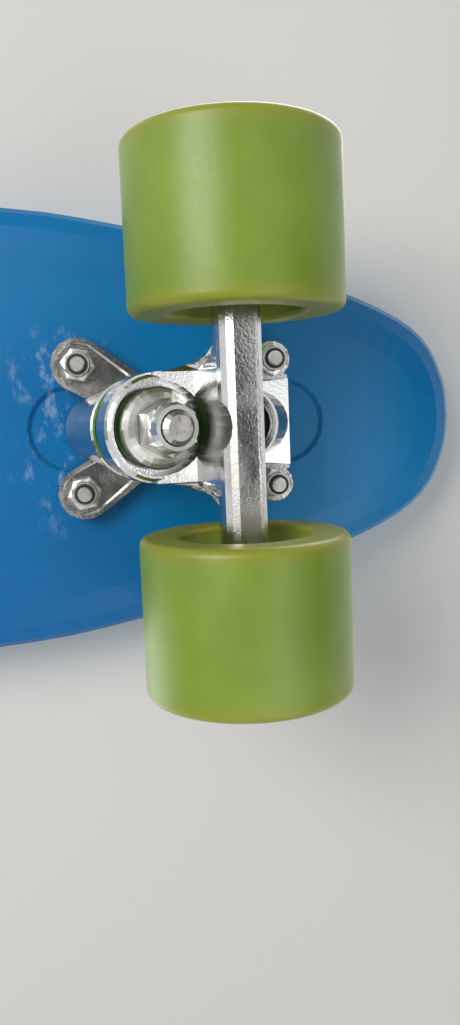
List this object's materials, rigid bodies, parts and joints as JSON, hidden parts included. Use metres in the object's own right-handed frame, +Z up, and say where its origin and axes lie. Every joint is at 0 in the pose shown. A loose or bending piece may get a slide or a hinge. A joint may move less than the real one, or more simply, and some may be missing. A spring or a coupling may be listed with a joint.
{
  "type": "cruiser skateboard",
  "caption": "Small plastic cruiser skateboard with kingpin trucks, wide soft urethane wheels on ball bearings and a kicked tail.",
  "frame": {"origin": "on the ground, under the middle of the board's bounding box", "axes": "+X towards the nose, +Y to the rider's left, +Z up through the deck"},
  "size_m": [0.56, 0.1512, 0.1127],
  "materials": {
    "deck_plastic": "satin-gloss moulded blue plastic",
    "cast_aluminium": "polished casting",
    "urethane": "satin translucent yellow-green urethane",
    "bushing_urethane": "satin green urethane",
    "pivot_plastic": "matt black",
    "steel": "bare steel, lightly rusted at the kingpin's end",
    "zinc_steel": "zinc plated",
    "bearing_steel": "ground steel"
  },
  "bodies": {
    "board": {"deck": "deck_plastic", "front_baseplate": "cast_aluminium", "front_pivot_cup": "pivot_plastic", "front_kingpin": "steel", "front_kingpin_nut": "zinc_steel", "front_top_washer": "zinc_steel", "front_upper_bushing": "bushing_urethane", "front_lower_bushing": "bushing_urethane", "front_mounting_bolt_1": "zinc_steel", "front_mounting_bolt_2": "zinc_steel", "front_mounting_bolt_3": "zinc_steel", "front_mounting_bolt_4": "zinc_steel", "front_mounting_nut_1": "zinc_steel", "front_mounting_nut_2": "zinc_steel", "front_mounting_nut_3": "zinc_steel", "front_mounting_nut_4": "zinc_steel", "rear_baseplate": "cast_aluminium", "rear_pivot_cup": "pivot_plastic", "rear_kingpin": "steel", "rear_kingpin_nut": "zinc_steel", "rear_top_washer": "zinc_steel", "rear_upper_bushing": "bushing_urethane", "rear_lower_bushing": "bushing_urethane", "rear_mounting_bolt_1": "zinc_steel", "rear_mounting_bolt_2": "zinc_steel", "rear_mounting_bolt_3": "zinc_steel", "rear_mounting_bolt_4": "zinc_steel", "rear_mounting_nut_1": "zinc_steel", "rear_mounting_nut_2": "zinc_steel", "rear_mounting_nut_3": "zinc_steel", "rear_mounting_nut_4": "zinc_steel"},
    "front_hanger_assembly": {"front_hanger": "cast_aluminium", "front_axle": "steel", "front_left_inner_speed_washer": "zinc_steel", "front_left_outer_speed_washer": "zinc_steel", "front_left_axle_nut": "zinc_steel", "front_right_inner_speed_washer": "zinc_steel", "front_right_outer_speed_washer": "zinc_steel", "front_right_axle_nut": "zinc_steel"},
    "front_left_wheel_assembly": {"front_left_wheel": "urethane", "front_left_inner_bearing": "bearing_steel", "front_left_outer_bearing": "bearing_steel"},
    "front_right_wheel_assembly": {"front_right_wheel": "urethane", "front_right_inner_bearing": "bearing_steel", "front_right_outer_bearing": "bearing_steel"},
    "rear_hanger_assembly": {"rear_hanger": "cast_aluminium", "rear_axle": "steel", "rear_left_inner_speed_washer": "zinc_steel", "rear_left_outer_speed_washer": "zinc_steel", "rear_left_axle_nut": "zinc_steel", "rear_right_inner_speed_washer": "zinc_steel", "rear_right_outer_speed_washer": "zinc_steel", "rear_right_axle_nut": "zinc_steel"},
    "rear_left_wheel_assembly": {"rear_left_wheel": "urethane", "rear_left_inner_bearing": "bearing_steel", "rear_left_outer_bearing": "bearing_steel"},
    "rear_right_wheel_assembly": {"rear_right_wheel": "urethane", "rear_right_inner_bearing": "bearing_steel", "rear_right_outer_bearing": "bearing_steel"}
  },
  "joints": [
    {"name": "front_steering", "type": "hinge", "parent": "board", "child": "front_hanger_assembly", "pos_m": [0.203, 0, 0.0675], "axis": [-0.7637, 0, -0.6456], "range_deg": [-12, 12], "stiffness_Nm_per_rad": 30, "deforming": ["front_lower_bushing", "front_upper_bushing"]},
    {"name": "front_left_wheel_spin", "type": "hinge", "parent": "front_hanger_assembly", "child": "front_left_wheel_assembly", "pos_m": [0.1945, 0.0524, 0.0295], "axis": [0, 1, 0], "continuous": true},
    {"name": "front_right_wheel_spin", "type": "hinge", "parent": "front_hanger_assembly", "child": "front_right_wheel_assembly", "pos_m": [0.1945, -0.0524, 0.0295], "axis": [0, 1, 0], "continuous": true},
    {"name": "rear_steering", "type": "hinge", "parent": "board", "child": "rear_hanger_assembly", "pos_m": [-0.172, 0, 0.0675], "axis": [0.7637, 0, -0.6456], "range_deg": [-12, 12], "stiffness_Nm_per_rad": 30, "deforming": ["rear_lower_bushing", "rear_upper_bushing"]},
    {"name": "rear_left_wheel_spin", "type": "hinge", "parent": "rear_hanger_assembly", "child": "rear_left_wheel_assembly", "pos_m": [-0.1635, 0.0524, 0.0295], "axis": [0, 1, 0], "continuous": true},
    {"name": "rear_right_wheel_spin", "type": "hinge", "parent": "rear_hanger_assembly", "child": "rear_right_wheel_assembly", "pos_m": [-0.1635, -0.0524, 0.0295], "axis": [0, 1, 0], "continuous": true}
  ]
}
